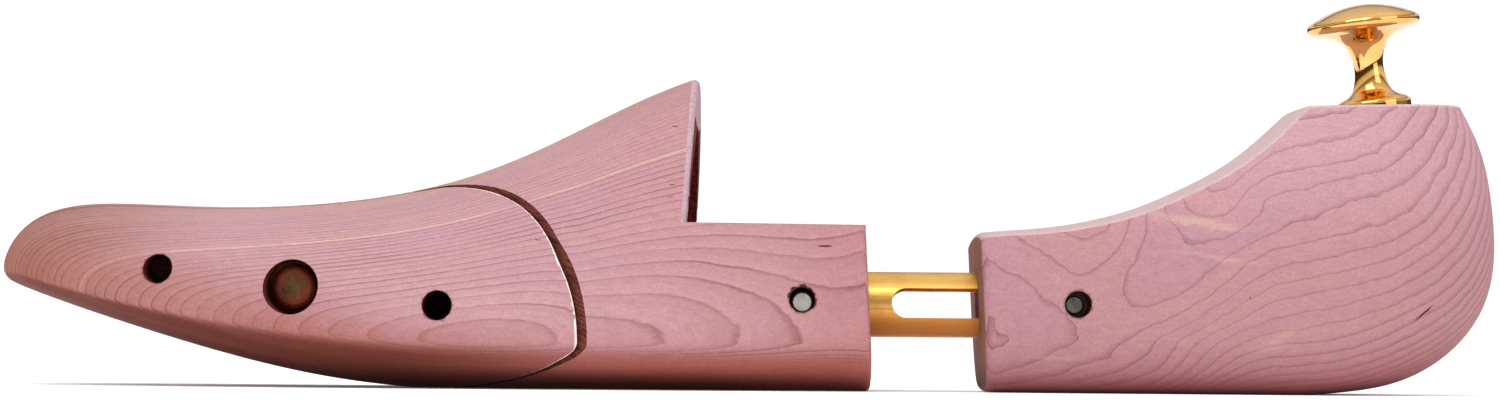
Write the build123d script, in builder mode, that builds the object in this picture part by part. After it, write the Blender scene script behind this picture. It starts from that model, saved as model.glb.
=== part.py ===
from build123d import *
from math import comb, cos, radians, sin, tan
import numpy as np
import os

# Adjustable cedar shoe tree, millimetres. +X runs from toe to heel, +Z is up,
# -Y is the lateral side. The origin is under the middle of the overall box.

os.makedirs("parts", exist_ok=True)

# ---- forepart form: stations along X -------------------------------------
# x, bottom z, top z, widest z, lateral half width, medial half width, centre y
FOREPART_STATIONS = (
    (-159.5, 24.0, 26.4, 25.1, 4.1, 4.1, 3.2),
    (-159.0, 22.6, 28.1, 25.0, 9.6, 9.6, 3.2),
    (-157.9, 21.8, 30.2, 24.8, 14.0, 14.0, 3.3),
    (-155.9, 20.95, 32.7, 24.3, 18.7, 18.7, 3.4),
    (-153.0, 19.95, 35.5, 23.5, 22.9, 23.0, 3.4),
    (-148.8, 18.4, 37.8, 22.3, 26.9, 27.3, 3.3),
    (-142.0, 16.0, 38.85, 20.5, 30.8, 31.6, 2.9),
    (-132.0, 12.8, 38.55, 18.1, 34.2, 35.5, 2.4),
    (-119.0, 9.0, 38.3, 15.6, 37.1, 38.6, 1.7),
    (-104.0, 5.0, 38.5, 13.3, 39.3, 40.6, 1.0),
    (-88.0, 1.75, 39.7, 11.3, 40.8, 41.5, 0.5),
    (-73.0, -0.1, 41.5, 10.2, 41.6, 41.8, 0.2),
    (-58.0, -0.4, 45.8, 9.8, 42.0, 41.2, 0.0),
    (-43.0, -0.4, 52.3, 9.7, 41.9, 40.3, 0.0),
    (-28.0, -0.4, 59.65, 9.7, 40.8, 38.8, 0.0),
    (-12.0, -0.4, 66.45, 9.8, 38.2, 36.6, 0.0),
    (6.0, -0.4, 71.4, 9.9, 33.8, 32.6, 0.0),
    (30.0, -0.4, 74.0, 10.0, 28.0, 27.4, 0.0),
)
SURFACE_DEGREE = 14
SURFACE_STIFFNESS = 0.003
END_WEIGHT = 30.0
ELLIPSE_HANDLE = 0.5523

# ---- forepart cuts ---------------------------------------------------------
CUTTER = 120.0
TAIL_TOP_Z = 34.75
TAIL_END_X = 25.9
TAIL_END_LEAN = 2.9
INSTEP_REAR_X = -12.55
INSTEP_REAR_HEIGHT = 40.0
INSTEP_REAR_LEAN = 2.6
INSTEP_REAR_BULGE = 0.25
INSTEP_REAR_SWING = -1.2
INSTEP_EDGE_RADIUS = 1.1
HOLLOW_ARCH = ((0.0, 56.5), (10.0, 55.0), (20.0, 46.0), (27.0, 34.75))
HOLLOW_FRONT_X = -36.0
TONGUE_HALF = 6.0
FLARE_CORNER_X = -68.1
FLARE_RADIUS = 14.0
FLARE_BEND = (-39.2, 36.9)
FLARE_BEND_RADIUS = 10.0
FLARE_END_ANGLE = 36.0
FLARE_END_LENGTH = 60.0
CHEEK_GAP_Y = 1.6
CHEEK_GAP_BEND = 1.2
CHEEK_END_ANGLE = 34.0
CHEEK_EDGE_RADIUS = 0.45
TAIL_EDGE_RADIUS = 1.0

# ---- cheek hardware --------------------------------------------------------
VENT_DIA = 6.2
DOWEL_DIA = 6.1
DOWEL_HALF = 22.0
FRONT_VENT = (-122.5, 24.3)
REAR_VENT = (-64.0, 17.1)
LATERAL_SCREW = (-94.4, 20.7)
MEDIAL_SCREW = (-82.0, 20.0)
COUNTERBORE_DIA = 11.5
COUNTERBORE_FLOOR_Y = 27.0
SCREW_HOLE_DIA = 5.5
SCREW_SHANK_DIA = 4.8
SCREW_POINT_LENGTH = 3.5
SCREW_REACH = 3.0
SCREW_HEAD_DIA = 9.4
SCREW_HEAD_HEIGHT = 2.9
SCREW_HEAD_ROUND = 1.4
RECESS_SPAN = 5.2
RECESS_WIDTH = 1.6
RECESS_DEPTH = 1.5
RECESS_CENTRE_DIA = 2.6
RECESS_CENTRE_DEPTH = 2.2
RECESS_TURN = 19.5
WASHER_DIA = 10.9
WASHER_HOLE_DIA = 5.0
WASHER_THICK = 0.8
SPRING_POCKET_DIA = 10.4
SPRING_POCKET_Y = 20.0
CHEEK_SPRING_RADIUS = 4.3
CHEEK_SPRING_WIRE = 0.9
CHEEK_SPRING_PITCH = 2.9

# ---- tube and pins ---------------------------------------------------------
TUBE_Z = 18.5
TUBE_DIA = 14.0
TUBE_WALL = 1.0
TUBE_FRONT_X = -22.0
TUBE_REAR_X = 94.0
SLOT_WIDTH = 6.4
SLOT_FRONT_X = 30.4
SLOT_REAR_X = 71.2
SLOT_TURN = 3.0
GROOVE_SPACING = 2.0
GROOVE_WIDTH = 0.35
GROOVE_DEPTH = 0.25
FOREPART_PIN_X = 11.0
FOREPART_PIN_DIA = 4.3
FOREPART_PIN_HALF = 30.0
FOREPART_MOUTH_DIA = 5.3
FOREPART_MOUTH_LIFT = 0.45
FOREPART_MOUTH_DEPTH = 5.0
HEEL_PIN_X = 68.4
HEEL_PIN_DIA = 3.9
HEEL_PIN_HALF = 18.0
HEEL_MOUTH_DIA = 5.6

# ---- heel form: stations along Z -------------------------------------------
# z, back x, lateral half width, medial half width
HEEL_STATIONS = (
    (0.0, 121.0, 18.0, 18.0),
    (0.5, 127.0, 20.8, 20.8),
    (1.6, 134.3, 23.6, 23.6),
    (3.6, 141.1, 26.1, 26.0),
    (6.6, 146.5, 28.2, 28.0),
    (11.2, 151.9, 30.0, 29.7),
    (18.0, 156.9, 31.1, 30.7),
    (26.0, 159.1, 31.2, 30.8),
    (35.0, 159.5, 30.3, 29.9),
    (44.5, 158.5, 28.6, 28.2),
    (54.0, 156.0, 26.4, 26.0),
    (66.0, 150.9, 23.4, 23.0),
)
HEEL_WIDE_X = 113.0
HEEL_FRONT_VIRTUAL_X = -6.0
HEEL_FRONT_X = 49.9
HEEL_FRONT_LEAN = 3.2
HEEL_FLAT_FRONT = (114.2, 60.4)
HEEL_FLAT_RISE = 0.04
SCOOP_PROFILE = (
    (30.0, 33.3),
    (48.0, 33.95),
    (56.5, 34.6),
    (65.0, 35.4),
    (73.2, 36.9),
    (82.0, 39.35),
    (91.5, 43.35),
    (100.5, 48.05),
    (108.5, 53.8),
    (114.2, 58.9),
    (119.0, 63.4),
)
CROWN_AXIS_Z = -220.0
HEEL_FRONT_RADIUS = 2.0
HEEL_EDGE_RADIUS = 0.8
BORE_DIA = 14.16
BORE_END_X = 134.5
THRUST_WASHER_THICK = 1.2
THRUST_WASHER_DIA = 13.6
THRUST_WASHER_HOLE = 7.0
MAIN_SPRING_RADIUS = 5.6
MAIN_SPRING_WIRE = 1.5
MAIN_SPRING_PITCH = 4.4
SPRING_END_GAP = 0.05

# ---- knob ------------------------------------------------------------------
KNOB_X = 134.1
KNOB_BASE_Z = 60.75
KNOB_LEAN = 7.5
KNOB_SEAT_DIA = 16.6
KNOB_CLEARANCE = 30.0
FLANGE_SIDE = ((0.0, 0.0), (7.6, 0.0), (8.0, 0.4), (8.0, 1.5))
FLANGE_LIP = ((8.0, 1.5), (8.0, 2.3), (7.4, 2.65), (6.7, 2.95))
NECK = (
    (6.7, 2.95),
    (4.5, 4.25),
    (3.6, 6.1),
    (3.15, 8.6),
    (3.2, 11.0),
    (4.05, 13.9),
    (6.1, 16.0),
    (8.6, 16.95),
    (10.7, 17.5),
)
NECK_START = (-0.9, 0.42)
NECK_END = (0.97, 0.25)
DISC_UNDER = ((10.7, 17.5), (11.4, 17.68), (12.05, 18.2), (12.05, 18.95))
DISC_OVER = ((12.05, 18.95), (12.05, 19.65), (11.6, 20.0), (11.0, 20.35))
DISC_CROWN = ((11.0, 20.35), (7.6, 22.1), (3.9, 23.25), (0.0, 23.25))
STUD_DIA = 5.0
STUD_IN_KNOB = 12.0
STUD_IN_HEEL = 20.0


# ---- smooth forms ------------------------------------------------------------
def control_rows(stations):
    """Control rows of one smooth polynomial sweep that follows the stations."""
    wanted = np.array(stations, dtype=float)
    steps = np.sqrt((np.diff(wanted, axis=0) ** 2).sum(axis=1))
    spread = np.concatenate([[0.0], np.cumsum(steps)]) / steps.sum()
    degree = SURFACE_DEGREE
    basis = np.array(
        [[comb(degree, k) * u**k * (1 - u) ** (degree - k) for k in range(degree + 1)] for u in spread]
    )
    weight = np.ones(len(spread))
    weight[0] = END_WEIGHT
    weight[-1] = END_WEIGHT
    bending = np.diff(np.eye(degree + 1), n=3, axis=0) * SURFACE_STIFFNESS
    left = np.vstack([basis * weight[:, None], bending])
    right = np.vstack([wanted * weight[:, None], np.zeros((len(bending), wanted.shape[1]))])
    return np.linalg.lstsq(left, right, rcond=None)[0]


def forepart_quarters(row):
    """Four quarter-oval control polygons of a forepart section at one x."""
    x, low, top, wide, lateral, medial, mid = (float(value) for value in row)
    rise = (top - wide) * ELLIPSE_HANDLE
    drop = (wide - low) * ELLIPSE_HANDLE
    near = lateral * ELLIPSE_HANDLE
    far = medial * ELLIPSE_HANDLE
    left = mid - lateral
    right = mid + medial
    return (
        ((x, mid, low), (x, mid - near, low), (x, left, wide - drop), (x, left, wide)),
        ((x, left, wide), (x, left, wide + rise), (x, mid - near, top), (x, mid, top)),
        ((x, mid, top), (x, mid + far, top), (x, right, wide + rise), (x, right, wide)),
        ((x, right, wide), (x, right, wide - drop), (x, mid + far, low), (x, mid, low)),
    )


def heel_quarters(row):
    """Four quarter-oval control polygons of a heel section at one z."""
    z, back, lateral, medial = (float(value) for value in row)
    mid = HEEL_WIDE_X
    front = HEEL_FRONT_VIRTUAL_X
    fore = (mid - front) * ELLIPSE_HANDLE
    aft = (back - mid) * ELLIPSE_HANDLE
    near = lateral * ELLIPSE_HANDLE
    far = medial * ELLIPSE_HANDLE
    return (
        ((front, 0, z), (front, -near, z), (mid - fore, -lateral, z), (mid, -lateral, z)),
        ((mid, -lateral, z), (mid + aft, -lateral, z), (back, -near, z), (back, 0, z)),
        ((back, 0, z), (back, far, z), (mid + aft, medial, z), (mid, medial, z)),
        ((mid, medial, z), (mid - fore, medial, z), (front, far, z), (front, 0, z)),
    )


def smooth_form(stations, quarters):
    """Closed solid from four smooth quarter surfaces and two flat end caps."""
    rows = [quarters(row) for row in control_rows(stations)]
    skins = [Face.make_bezier_surface([row[k] for row in rows]) for k in range(4)]
    caps = [Face(Wire([Edge.make_bezier(*quarter) for quarter in row])) for row in (rows[0], rows[-1])]
    return Solid(Shell(skins + caps))


forepart_form = smooth_form(FOREPART_STATIONS, forepart_quarters)
heel_form = smooth_form(HEEL_STATIONS, heel_quarters)


def cheek_region(side, front_shift, bend_shift, end_angle):
    """Plan outline of everything outside the tongue on one side (-1 lateral, 1 medial)."""
    inner = TONGUE_HALF + front_shift
    bend_x, bend_y = FLARE_BEND[0], FLARE_BEND[1] + bend_shift
    end_x = bend_x + FLARE_END_LENGTH * cos(radians(end_angle))
    end_y = bend_y + FLARE_END_LENGTH * sin(radians(end_angle))
    with BuildSketch(Plane.XY) as region:
        with BuildLine():
            FilletPolyline(
                (-2 * CUTTER, side * inner),
                (FLARE_CORNER_X, side * inner),
                (bend_x, side * bend_y),
                (end_x, side * end_y),
                (end_x, side * CUTTER),
                radius=(FLARE_RADIUS, FLARE_BEND_RADIUS, 0),
            )
            Polyline((end_x, side * CUTTER), (-2 * CUTTER, side * CUTTER), (-2 * CUTTER, side * inner))
        make_face()
    return region.sketch


def side_plane(place, y):
    """Plane at one (x, z) place facing -Y, standing at depth y."""
    return Plane(origin=(place[0], y, place[1]), x_dir=(1, 0, 0), z_dir=(0, -1, 0))


# ---- cheek screws ------------------------------------------------------------
def cheek_screw(side, place, label):
    """Pan-head wood screw driven inward from one side of the tongue."""
    head_seat = COUNTERBORE_FLOOR_Y + WASHER_THICK
    head_top = head_seat + SCREW_HEAD_HEIGHT
    tip = -SCREW_REACH
    axis_plane = Plane(origin=(place[0], 0, place[1]), x_dir=(1, 0, 0), z_dir=(0, 0, 1))
    with BuildPart() as screw:
        with BuildSketch(axis_plane):
            with BuildLine():
                Polyline(
                    (0, side * tip),
                    (SCREW_SHANK_DIA / 2, side * (tip + SCREW_POINT_LENGTH)),
                    (SCREW_SHANK_DIA / 2, side * head_seat),
                    (SCREW_HEAD_DIA / 2, side * head_seat),
                    (SCREW_HEAD_DIA / 2, side * head_top),
                    (0, side * head_top),
                    close=True,
                )
            make_face()
        revolve(axis=Axis((place[0], 0, place[1]), (0, 1, 0)))
        rim = screw.edges().filter_by(GeomType.CIRCLE).group_by(Axis.Y)[-1 if side > 0 else 0]
        fillet(rim, SCREW_HEAD_ROUND)
        recess_turn = (cos(radians(RECESS_TURN)), 0, sin(radians(RECESS_TURN)))
        head_plane = Plane(origin=(place[0], side * head_top, place[1]), x_dir=recess_turn, z_dir=(0, side, 0))
        with BuildSketch(head_plane):
            Rectangle(RECESS_SPAN, RECESS_WIDTH)
            Rectangle(RECESS_WIDTH, RECESS_SPAN)
        extrude(amount=-RECESS_DEPTH, mode=Mode.SUBTRACT)
        with BuildSketch(head_plane):
            Circle(RECESS_CENTRE_DIA / 2)
        extrude(amount=-RECESS_CENTRE_DEPTH, mode=Mode.SUBTRACT)
    screw.part.label = label
    return screw.part


def screw_washer(side, place, label):
    """Flat washer on the floor of the counterbore."""
    with BuildPart() as washer:
        with BuildSketch(side_plane(place, side * (COUNTERBORE_FLOOR_Y + WASHER_THICK / 2))):
            Circle(WASHER_DIA / 2)
            Circle(WASHER_HOLE_DIA / 2, mode=Mode.SUBTRACT)
        extrude(amount=WASHER_THICK / 2, both=True)
    washer.part.label = label
    return washer.part


def cheek_spring(side, place, label):
    """Coil spring round the screw, between the tongue and the pocket floor."""
    margin = CHEEK_SPRING_WIRE / 2 + SPRING_END_GAP
    start = TONGUE_HALF + margin
    length = SPRING_POCKET_Y - margin - start
    coil = Helix(
        pitch=CHEEK_SPRING_PITCH,
        height=length,
        radius=CHEEK_SPRING_RADIUS,
        center=(place[0], side * start, place[1]),
        direction=(0, side, 0),
    )
    with BuildPart() as spring:
        with BuildLine():
            add(coil)
        with BuildSketch(Plane(origin=coil @ 0, z_dir=coil % 0)):
            Circle(CHEEK_SPRING_WIRE / 2)
        sweep()
    spring.part.label = label
    return spring.part


lateral_screw = cheek_screw(-1, LATERAL_SCREW, "lateral_cheek_screw")
medial_screw = cheek_screw(1, MEDIAL_SCREW, "medial_cheek_screw")
export_step(lateral_screw, "parts/lateral_cheek_screw.step")
export_step(medial_screw, "parts/medial_cheek_screw.step")
export_step(screw_washer(-1, LATERAL_SCREW, "lateral_screw_washer"), "parts/lateral_screw_washer.step")
export_step(screw_washer(1, MEDIAL_SCREW, "medial_screw_washer"), "parts/medial_screw_washer.step")
export_step(cheek_spring(-1, LATERAL_SCREW, "lateral_cheek_spring"), "parts/lateral_cheek_spring.step")
export_step(cheek_spring(1, MEDIAL_SCREW, "medial_cheek_spring"), "parts/medial_cheek_spring.step")

# ---- guide dowels --------------------------------------------------------------
for name, place in (("front_guide_dowel", FRONT_VENT), ("rear_guide_dowel", REAR_VENT)):
    with BuildPart() as dowel:
        with BuildSketch(side_plane(place, 0)):
            Circle(DOWEL_DIA / 2)
        extrude(amount=DOWEL_HALF, both=True)
        chamfer(dowel.edges().filter_by(GeomType.CIRCLE), 0.5)
    dowel.part.label = name
    export_step(dowel.part, "parts/" + name + ".step")

# ---- forepart pin ----------------------------------------------------------------
with BuildPart() as forepart_pin:
    with BuildSketch(side_plane((FOREPART_PIN_X, TUBE_Z), 0)):
        Circle(FOREPART_PIN_DIA / 2)
    extrude(amount=FOREPART_PIN_HALF, both=True)
    chamfer(forepart_pin.edges().filter_by(GeomType.CIRCLE), 0.3)
forepart_pin.part.label = "forepart_pin"
export_step(forepart_pin.part, "parts/forepart_pin.step")

# ---- instep block -----------------------------------------------------------------
with BuildPart() as instep_block:
    add(forepart_form)
    with BuildSketch(Plane.XY):
        Rectangle(4 * CUTTER, CUTTER)
    extrude(amount=-CUTTER, mode=Mode.SUBTRACT)
    # step down from the instep to the tail
    rear_top_x = INSTEP_REAR_X + INSTEP_REAR_HEIGHT * tan(radians(INSTEP_REAR_LEAN))
    rear_top_z = TAIL_TOP_Z + INSTEP_REAR_HEIGHT
    with BuildSketch(Plane.XZ.rotated((0, 0, INSTEP_REAR_SWING))):
        with BuildLine():
            ThreePointArc(
                (INSTEP_REAR_X, TAIL_TOP_Z),
                ((INSTEP_REAR_X + rear_top_x) / 2 + INSTEP_REAR_BULGE, (TAIL_TOP_Z + rear_top_z) / 2),
                (rear_top_x, rear_top_z),
            )
            Polyline(
                (rear_top_x, rear_top_z),
                (rear_top_x, CUTTER),
                (CUTTER, CUTTER),
                (CUTTER, TAIL_TOP_Z),
                (INSTEP_REAR_X, TAIL_TOP_Z),
            )
        make_face()
    extrude(amount=CUTTER, both=True, mode=Mode.SUBTRACT)
    # leaning tail end
    tail_lean = tan(radians(TAIL_END_LEAN))
    with BuildSketch(Plane.XZ):
        with BuildLine():
            Polyline(
                (TAIL_END_X + tail_lean, -1),
                (TAIL_END_X - CUTTER * tail_lean, CUTTER),
                (CUTTER, CUTTER),
                (CUTTER, -1),
                close=True,
            )
        make_face()
    extrude(amount=CUTTER, both=True, mode=Mode.SUBTRACT)
    # cheek clearances either side of the tongue
    for side in (-1, 1):
        add(cheek_region(side, 0, 0, FLARE_END_ANGLE))
        extrude(amount=CUTTER, mode=Mode.SUBTRACT)
    # rounded edges of the instep face, the tail top and the tail end
    instep_rim = instep_block.edges().filter_by(
        lambda edge: edge.center().Z > TAIL_TOP_Z + 5 and edge.center().X > INSTEP_REAR_X - 5
    )
    fillet(instep_rim, INSTEP_EDGE_RADIUS)
    tail_rim = instep_block.edges().filter_by(lambda edge: edge.center().X > TAIL_END_X - 1.5)
    fillet(tail_rim, TAIL_EDGE_RADIUS)
    # finger hollow behind the instep
    arch_right = [(y, z) for y, z in reversed(HOLLOW_ARCH)]
    arch_left = [(-y, z) for y, z in HOLLOW_ARCH]
    with BuildSketch(Plane.YZ.offset(HOLLOW_FRONT_X)):
        with BuildLine():
            Bezier(*arch_right)
            Bezier(*arch_left)
            Line(arch_left[-1], arch_right[0])
        make_face()
    extrude(amount=-HOLLOW_FRONT_X, mode=Mode.SUBTRACT)
    # tube bore, cross pin hole and its wider mouth on the lateral side
    with BuildSketch(Plane.YZ.offset(TUBE_FRONT_X)):
        with Locations((0, TUBE_Z)):
            Circle(TUBE_DIA / 2)
    extrude(amount=CUTTER, mode=Mode.SUBTRACT)
    with BuildSketch(side_plane((FOREPART_PIN_X, TUBE_Z), 0)):
        Circle(FOREPART_PIN_DIA / 2)
    extrude(amount=FOREPART_PIN_HALF, both=True, mode=Mode.SUBTRACT)
    mouth_place = (FOREPART_PIN_X, TUBE_Z + FOREPART_MOUTH_LIFT)
    with BuildSketch(side_plane(mouth_place, FOREPART_MOUTH_DEPTH - FOREPART_PIN_HALF)):
        Circle(FOREPART_MOUTH_DIA / 2)
    extrude(amount=CUTTER, mode=Mode.SUBTRACT)
    # dowel holes and screw holes through the tongue
    for place in (FRONT_VENT, REAR_VENT):
        with BuildSketch(side_plane(place, 0)):
            Circle(DOWEL_DIA / 2)
        extrude(amount=DOWEL_HALF, both=True, mode=Mode.SUBTRACT)
    add(lateral_screw, mode=Mode.SUBTRACT)
    add(medial_screw, mode=Mode.SUBTRACT)
instep_block.part.label = "instep_block"
export_step(instep_block.part, "parts/instep_block.step")


# ---- cheeks ------------------------------------------------------------------------
def cheek(side, screw_place, label):
    """Side piece beside the tongue with its vents, counterbore and spring pocket."""
    with BuildPart() as piece:
        add(forepart_form)
        add(cheek_region(side, CHEEK_GAP_Y, CHEEK_GAP_BEND, CHEEK_END_ANGLE))
        extrude(amount=CUTTER, mode=Mode.INTERSECT)
        rim = piece.edges().filter_by(lambda edge: abs(edge.center().Z - TUBE_Z) > 5)
        fillet(rim, CHEEK_EDGE_RADIUS)
        for place in (FRONT_VENT, REAR_VENT):
            with BuildSketch(side_plane(place, 0)):
                Circle(VENT_DIA / 2)
            extrude(amount=-side * CUTTER, mode=Mode.SUBTRACT)
        with BuildSketch(side_plane(screw_place, 0)):
            Circle(SCREW_HOLE_DIA / 2)
        extrude(amount=-side * CUTTER, mode=Mode.SUBTRACT)
        with BuildSketch(side_plane(screw_place, 0)):
            Circle(SPRING_POCKET_DIA / 2)
        extrude(amount=-side * SPRING_POCKET_Y, mode=Mode.SUBTRACT)
        with BuildSketch(side_plane(screw_place, side * COUNTERBORE_FLOOR_Y)):
            Circle(COUNTERBORE_DIA / 2)
        extrude(amount=-side * CUTTER, mode=Mode.SUBTRACT)
    piece.part.label = label
    return piece.part


export_step(cheek(-1, LATERAL_SCREW, "lateral_cheek"), "parts/lateral_cheek.step")
export_step(cheek(1, MEDIAL_SCREW, "medial_cheek"), "parts/medial_cheek.step")

# ---- slotted tube ---------------------------------------------------------------------
with BuildPart() as tube:
    with BuildSketch(Plane.YZ.offset(TUBE_FRONT_X)):
        with Locations((0, TUBE_Z)):
            Circle(TUBE_DIA / 2)
            Circle(TUBE_DIA / 2 - TUBE_WALL, mode=Mode.SUBTRACT)
    extrude(amount=TUBE_REAR_X - TUBE_FRONT_X)
    slot_plane = side_plane(((SLOT_FRONT_X + SLOT_REAR_X) / 2, TUBE_Z), 0)
    with BuildSketch(slot_plane.rotated((-SLOT_TURN, 0, 0))):
        SlotOverall(SLOT_REAR_X - SLOT_FRONT_X, SLOT_WIDTH)
    extrude(amount=TUBE_DIA, both=True, mode=Mode.SUBTRACT)
    with BuildSketch(side_plane((FOREPART_PIN_X, TUBE_Z), 0)):
        Circle(FOREPART_PIN_DIA / 2)
    extrude(amount=TUBE_DIA, both=True, mode=Mode.SUBTRACT)
    groove_length = SLOT_FRONT_X + SLOT_WIDTH / 2 - TUBE_FRONT_X
    groove_middle = (TUBE_FRONT_X + groove_length / 2, TUBE_Z)
    with BuildSketch(side_plane(groove_middle, GROOVE_DEPTH - TUBE_DIA / 2)):
        with Locations((0, GROOVE_SPACING / 2), (0, -GROOVE_SPACING / 2)):
            Rectangle(groove_length, GROOVE_WIDTH)
    extrude(amount=TUBE_DIA, mode=Mode.SUBTRACT)
tube.part.label = "tube"
export_step(tube.part, "parts/tube.step")

# ---- knob and stud ----------------------------------------------------------------------
knob_plane = Plane(origin=(KNOB_X, 0, KNOB_BASE_Z)).rotated((0, -KNOB_LEAN, 0))
knob_section = Plane(origin=knob_plane.origin, x_dir=knob_plane.x_dir, z_dir=(0, -1, 0))
knob_axis = Axis(knob_plane.origin, knob_plane.z_dir)
with BuildPart() as knob:
    with BuildSketch(knob_section):
        with BuildLine():
            Polyline(*FLANGE_SIDE)
            Bezier(*FLANGE_LIP)
            Spline(*NECK, tangents=(NECK_START, NECK_END))
            Bezier(*DISC_UNDER)
            Bezier(*DISC_OVER)
            Bezier(*DISC_CROWN)
            Line(DISC_CROWN[-1], FLANGE_SIDE[0])
        make_face()
    revolve(axis=knob_axis)
    with BuildSketch(knob_plane):
        Circle(STUD_DIA / 2)
    extrude(amount=STUD_IN_KNOB, mode=Mode.SUBTRACT)
knob.part.label = "knob"
export_step(knob.part, "parts/knob.step")

with BuildPart() as knob_stud:
    with BuildSketch(knob_plane.offset(-STUD_IN_HEEL)):
        Circle(STUD_DIA / 2)
    extrude(amount=STUD_IN_HEEL + STUD_IN_KNOB)
    chamfer(knob_stud.edges().filter_by(GeomType.CIRCLE).sort_by(Axis.Z)[0], 1.5)
knob_stud.part.label = "knob_stud"
export_step(knob_stud.part, "parts/knob_stud.step")

# ---- heel block -------------------------------------------------------------------------
with BuildPart() as heel_block:
    add(heel_form)
    # leaning front face
    heel_lean = tan(radians(HEEL_FRONT_LEAN))
    with BuildSketch(Plane.XZ):
        with BuildLine():
            Polyline(
                (HEEL_FRONT_X + heel_lean, -1),
                (HEEL_FRONT_X - CUTTER * heel_lean, CUTTER),
                (-CUTTER, CUTTER),
                (-CUTTER, -1),
                close=True,
            )
        make_face()
    extrude(amount=CUTTER, both=True, mode=Mode.SUBTRACT)
    # crowned scoop in front of the flat top
    with BuildSketch(Plane.XZ):
        with BuildLine():
            Spline(*SCOOP_PROFILE)
            Polyline(
                SCOOP_PROFILE[-1],
                (SCOOP_PROFILE[-1][0], CUTTER),
                (SCOOP_PROFILE[0][0], CUTTER),
                SCOOP_PROFILE[0],
            )
        make_face()
    revolve(axis=Axis((0, 0, CROWN_AXIS_Z), (1, 0, 0)), mode=Mode.SUBTRACT)
    # flat top
    flat_x, flat_z = HEEL_FLAT_FRONT
    back_x = flat_x + CUTTER
    with BuildSketch(Plane.XZ):
        with BuildLine():
            Polyline(
                (flat_x - 20, flat_z - 20 * HEEL_FLAT_RISE),
                (back_x, flat_z + CUTTER * HEEL_FLAT_RISE),
                (back_x, CUTTER),
                (flat_x - 20, CUTTER),
                close=True,
            )
        make_face()
    extrude(amount=CUTTER, both=True, mode=Mode.SUBTRACT)
    front_rim = heel_block.edges().filter_by(lambda edge: edge.center().X < HEEL_FRONT_X + 0.5)
    fillet(front_rim, HEEL_FRONT_RADIUS)
    top_rim = heel_block.edges().filter_by(
        lambda edge: edge.length > 40 and edge.center().Z > 38 and abs(edge.center().Y) > 5
    )
    fillet(top_rim, HEEL_EDGE_RADIUS)
    # bore for the tube and the main spring
    with BuildSketch(Plane.YZ.offset(BORE_END_X)):
        with Locations((0, TUBE_Z)):
            Circle(BORE_DIA / 2)
    extrude(amount=-CUTTER, mode=Mode.SUBTRACT)
    # cross pin hole with a wider mouth on the lateral side
    with BuildSketch(side_plane((HEEL_PIN_X, TUBE_Z), 0)):
        Circle(HEEL_PIN_DIA / 2)
    extrude(amount=HEEL_PIN_HALF, both=True, mode=Mode.SUBTRACT)
    with BuildSketch(side_plane((HEEL_PIN_X, TUBE_Z), -HEEL_PIN_HALF)):
        Circle(HEEL_MOUTH_DIA / 2)
    extrude(amount=CUTTER, mode=Mode.SUBTRACT)
    # spot-faced seat and stud hole for the knob
    with BuildSketch(knob_plane):
        Circle(KNOB_SEAT_DIA / 2)
    extrude(amount=KNOB_CLEARANCE, mode=Mode.SUBTRACT)
    with BuildSketch(knob_plane):
        Circle(STUD_DIA / 2)
    extrude(amount=-STUD_IN_HEEL, mode=Mode.SUBTRACT)
heel_block.part.label = "heel_block"
export_step(heel_block.part, "parts/heel_block.step")

# ---- heel pin ------------------------------------------------------------------------------
with BuildPart() as heel_pin:
    with BuildSketch(side_plane((HEEL_PIN_X, TUBE_Z), 0)):
        Circle(HEEL_PIN_DIA / 2)
    extrude(amount=HEEL_PIN_HALF, both=True)
    chamfer(heel_pin.edges().filter_by(GeomType.CIRCLE), 0.3)
heel_pin.part.label = "heel_pin"
export_step(heel_pin.part, "parts/heel_pin.step")

# ---- thrust washer and main spring -----------------------------------------------------------
with BuildPart() as thrust_washer:
    with BuildSketch(Plane.YZ.offset(TUBE_REAR_X)):
        with Locations((0, TUBE_Z)):
            Circle(THRUST_WASHER_DIA / 2)
            Circle(THRUST_WASHER_HOLE / 2, mode=Mode.SUBTRACT)
    extrude(amount=THRUST_WASHER_THICK)
thrust_washer.part.label = "thrust_washer"
export_step(thrust_washer.part, "parts/thrust_washer.step")

main_margin = MAIN_SPRING_WIRE / 2 + SPRING_END_GAP
main_start = TUBE_REAR_X + THRUST_WASHER_THICK + main_margin
main_coil = Helix(
    pitch=MAIN_SPRING_PITCH,
    height=BORE_END_X - main_margin - main_start,
    radius=MAIN_SPRING_RADIUS,
    center=(main_start, 0, TUBE_Z),
    direction=(1, 0, 0),
)
with BuildPart() as main_spring:
    with BuildLine():
        add(main_coil)
    with BuildSketch(Plane(origin=main_coil @ 0, z_dir=main_coil % 0)):
        Circle(MAIN_SPRING_WIRE / 2)
    sweep()
main_spring.part.label = "main_spring"
export_step(main_spring.part, "parts/main_spring.step")
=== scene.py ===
import bpy
import math
from mathutils import Matrix, Vector
from mathutils.bvhtree import BVHTree


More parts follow.
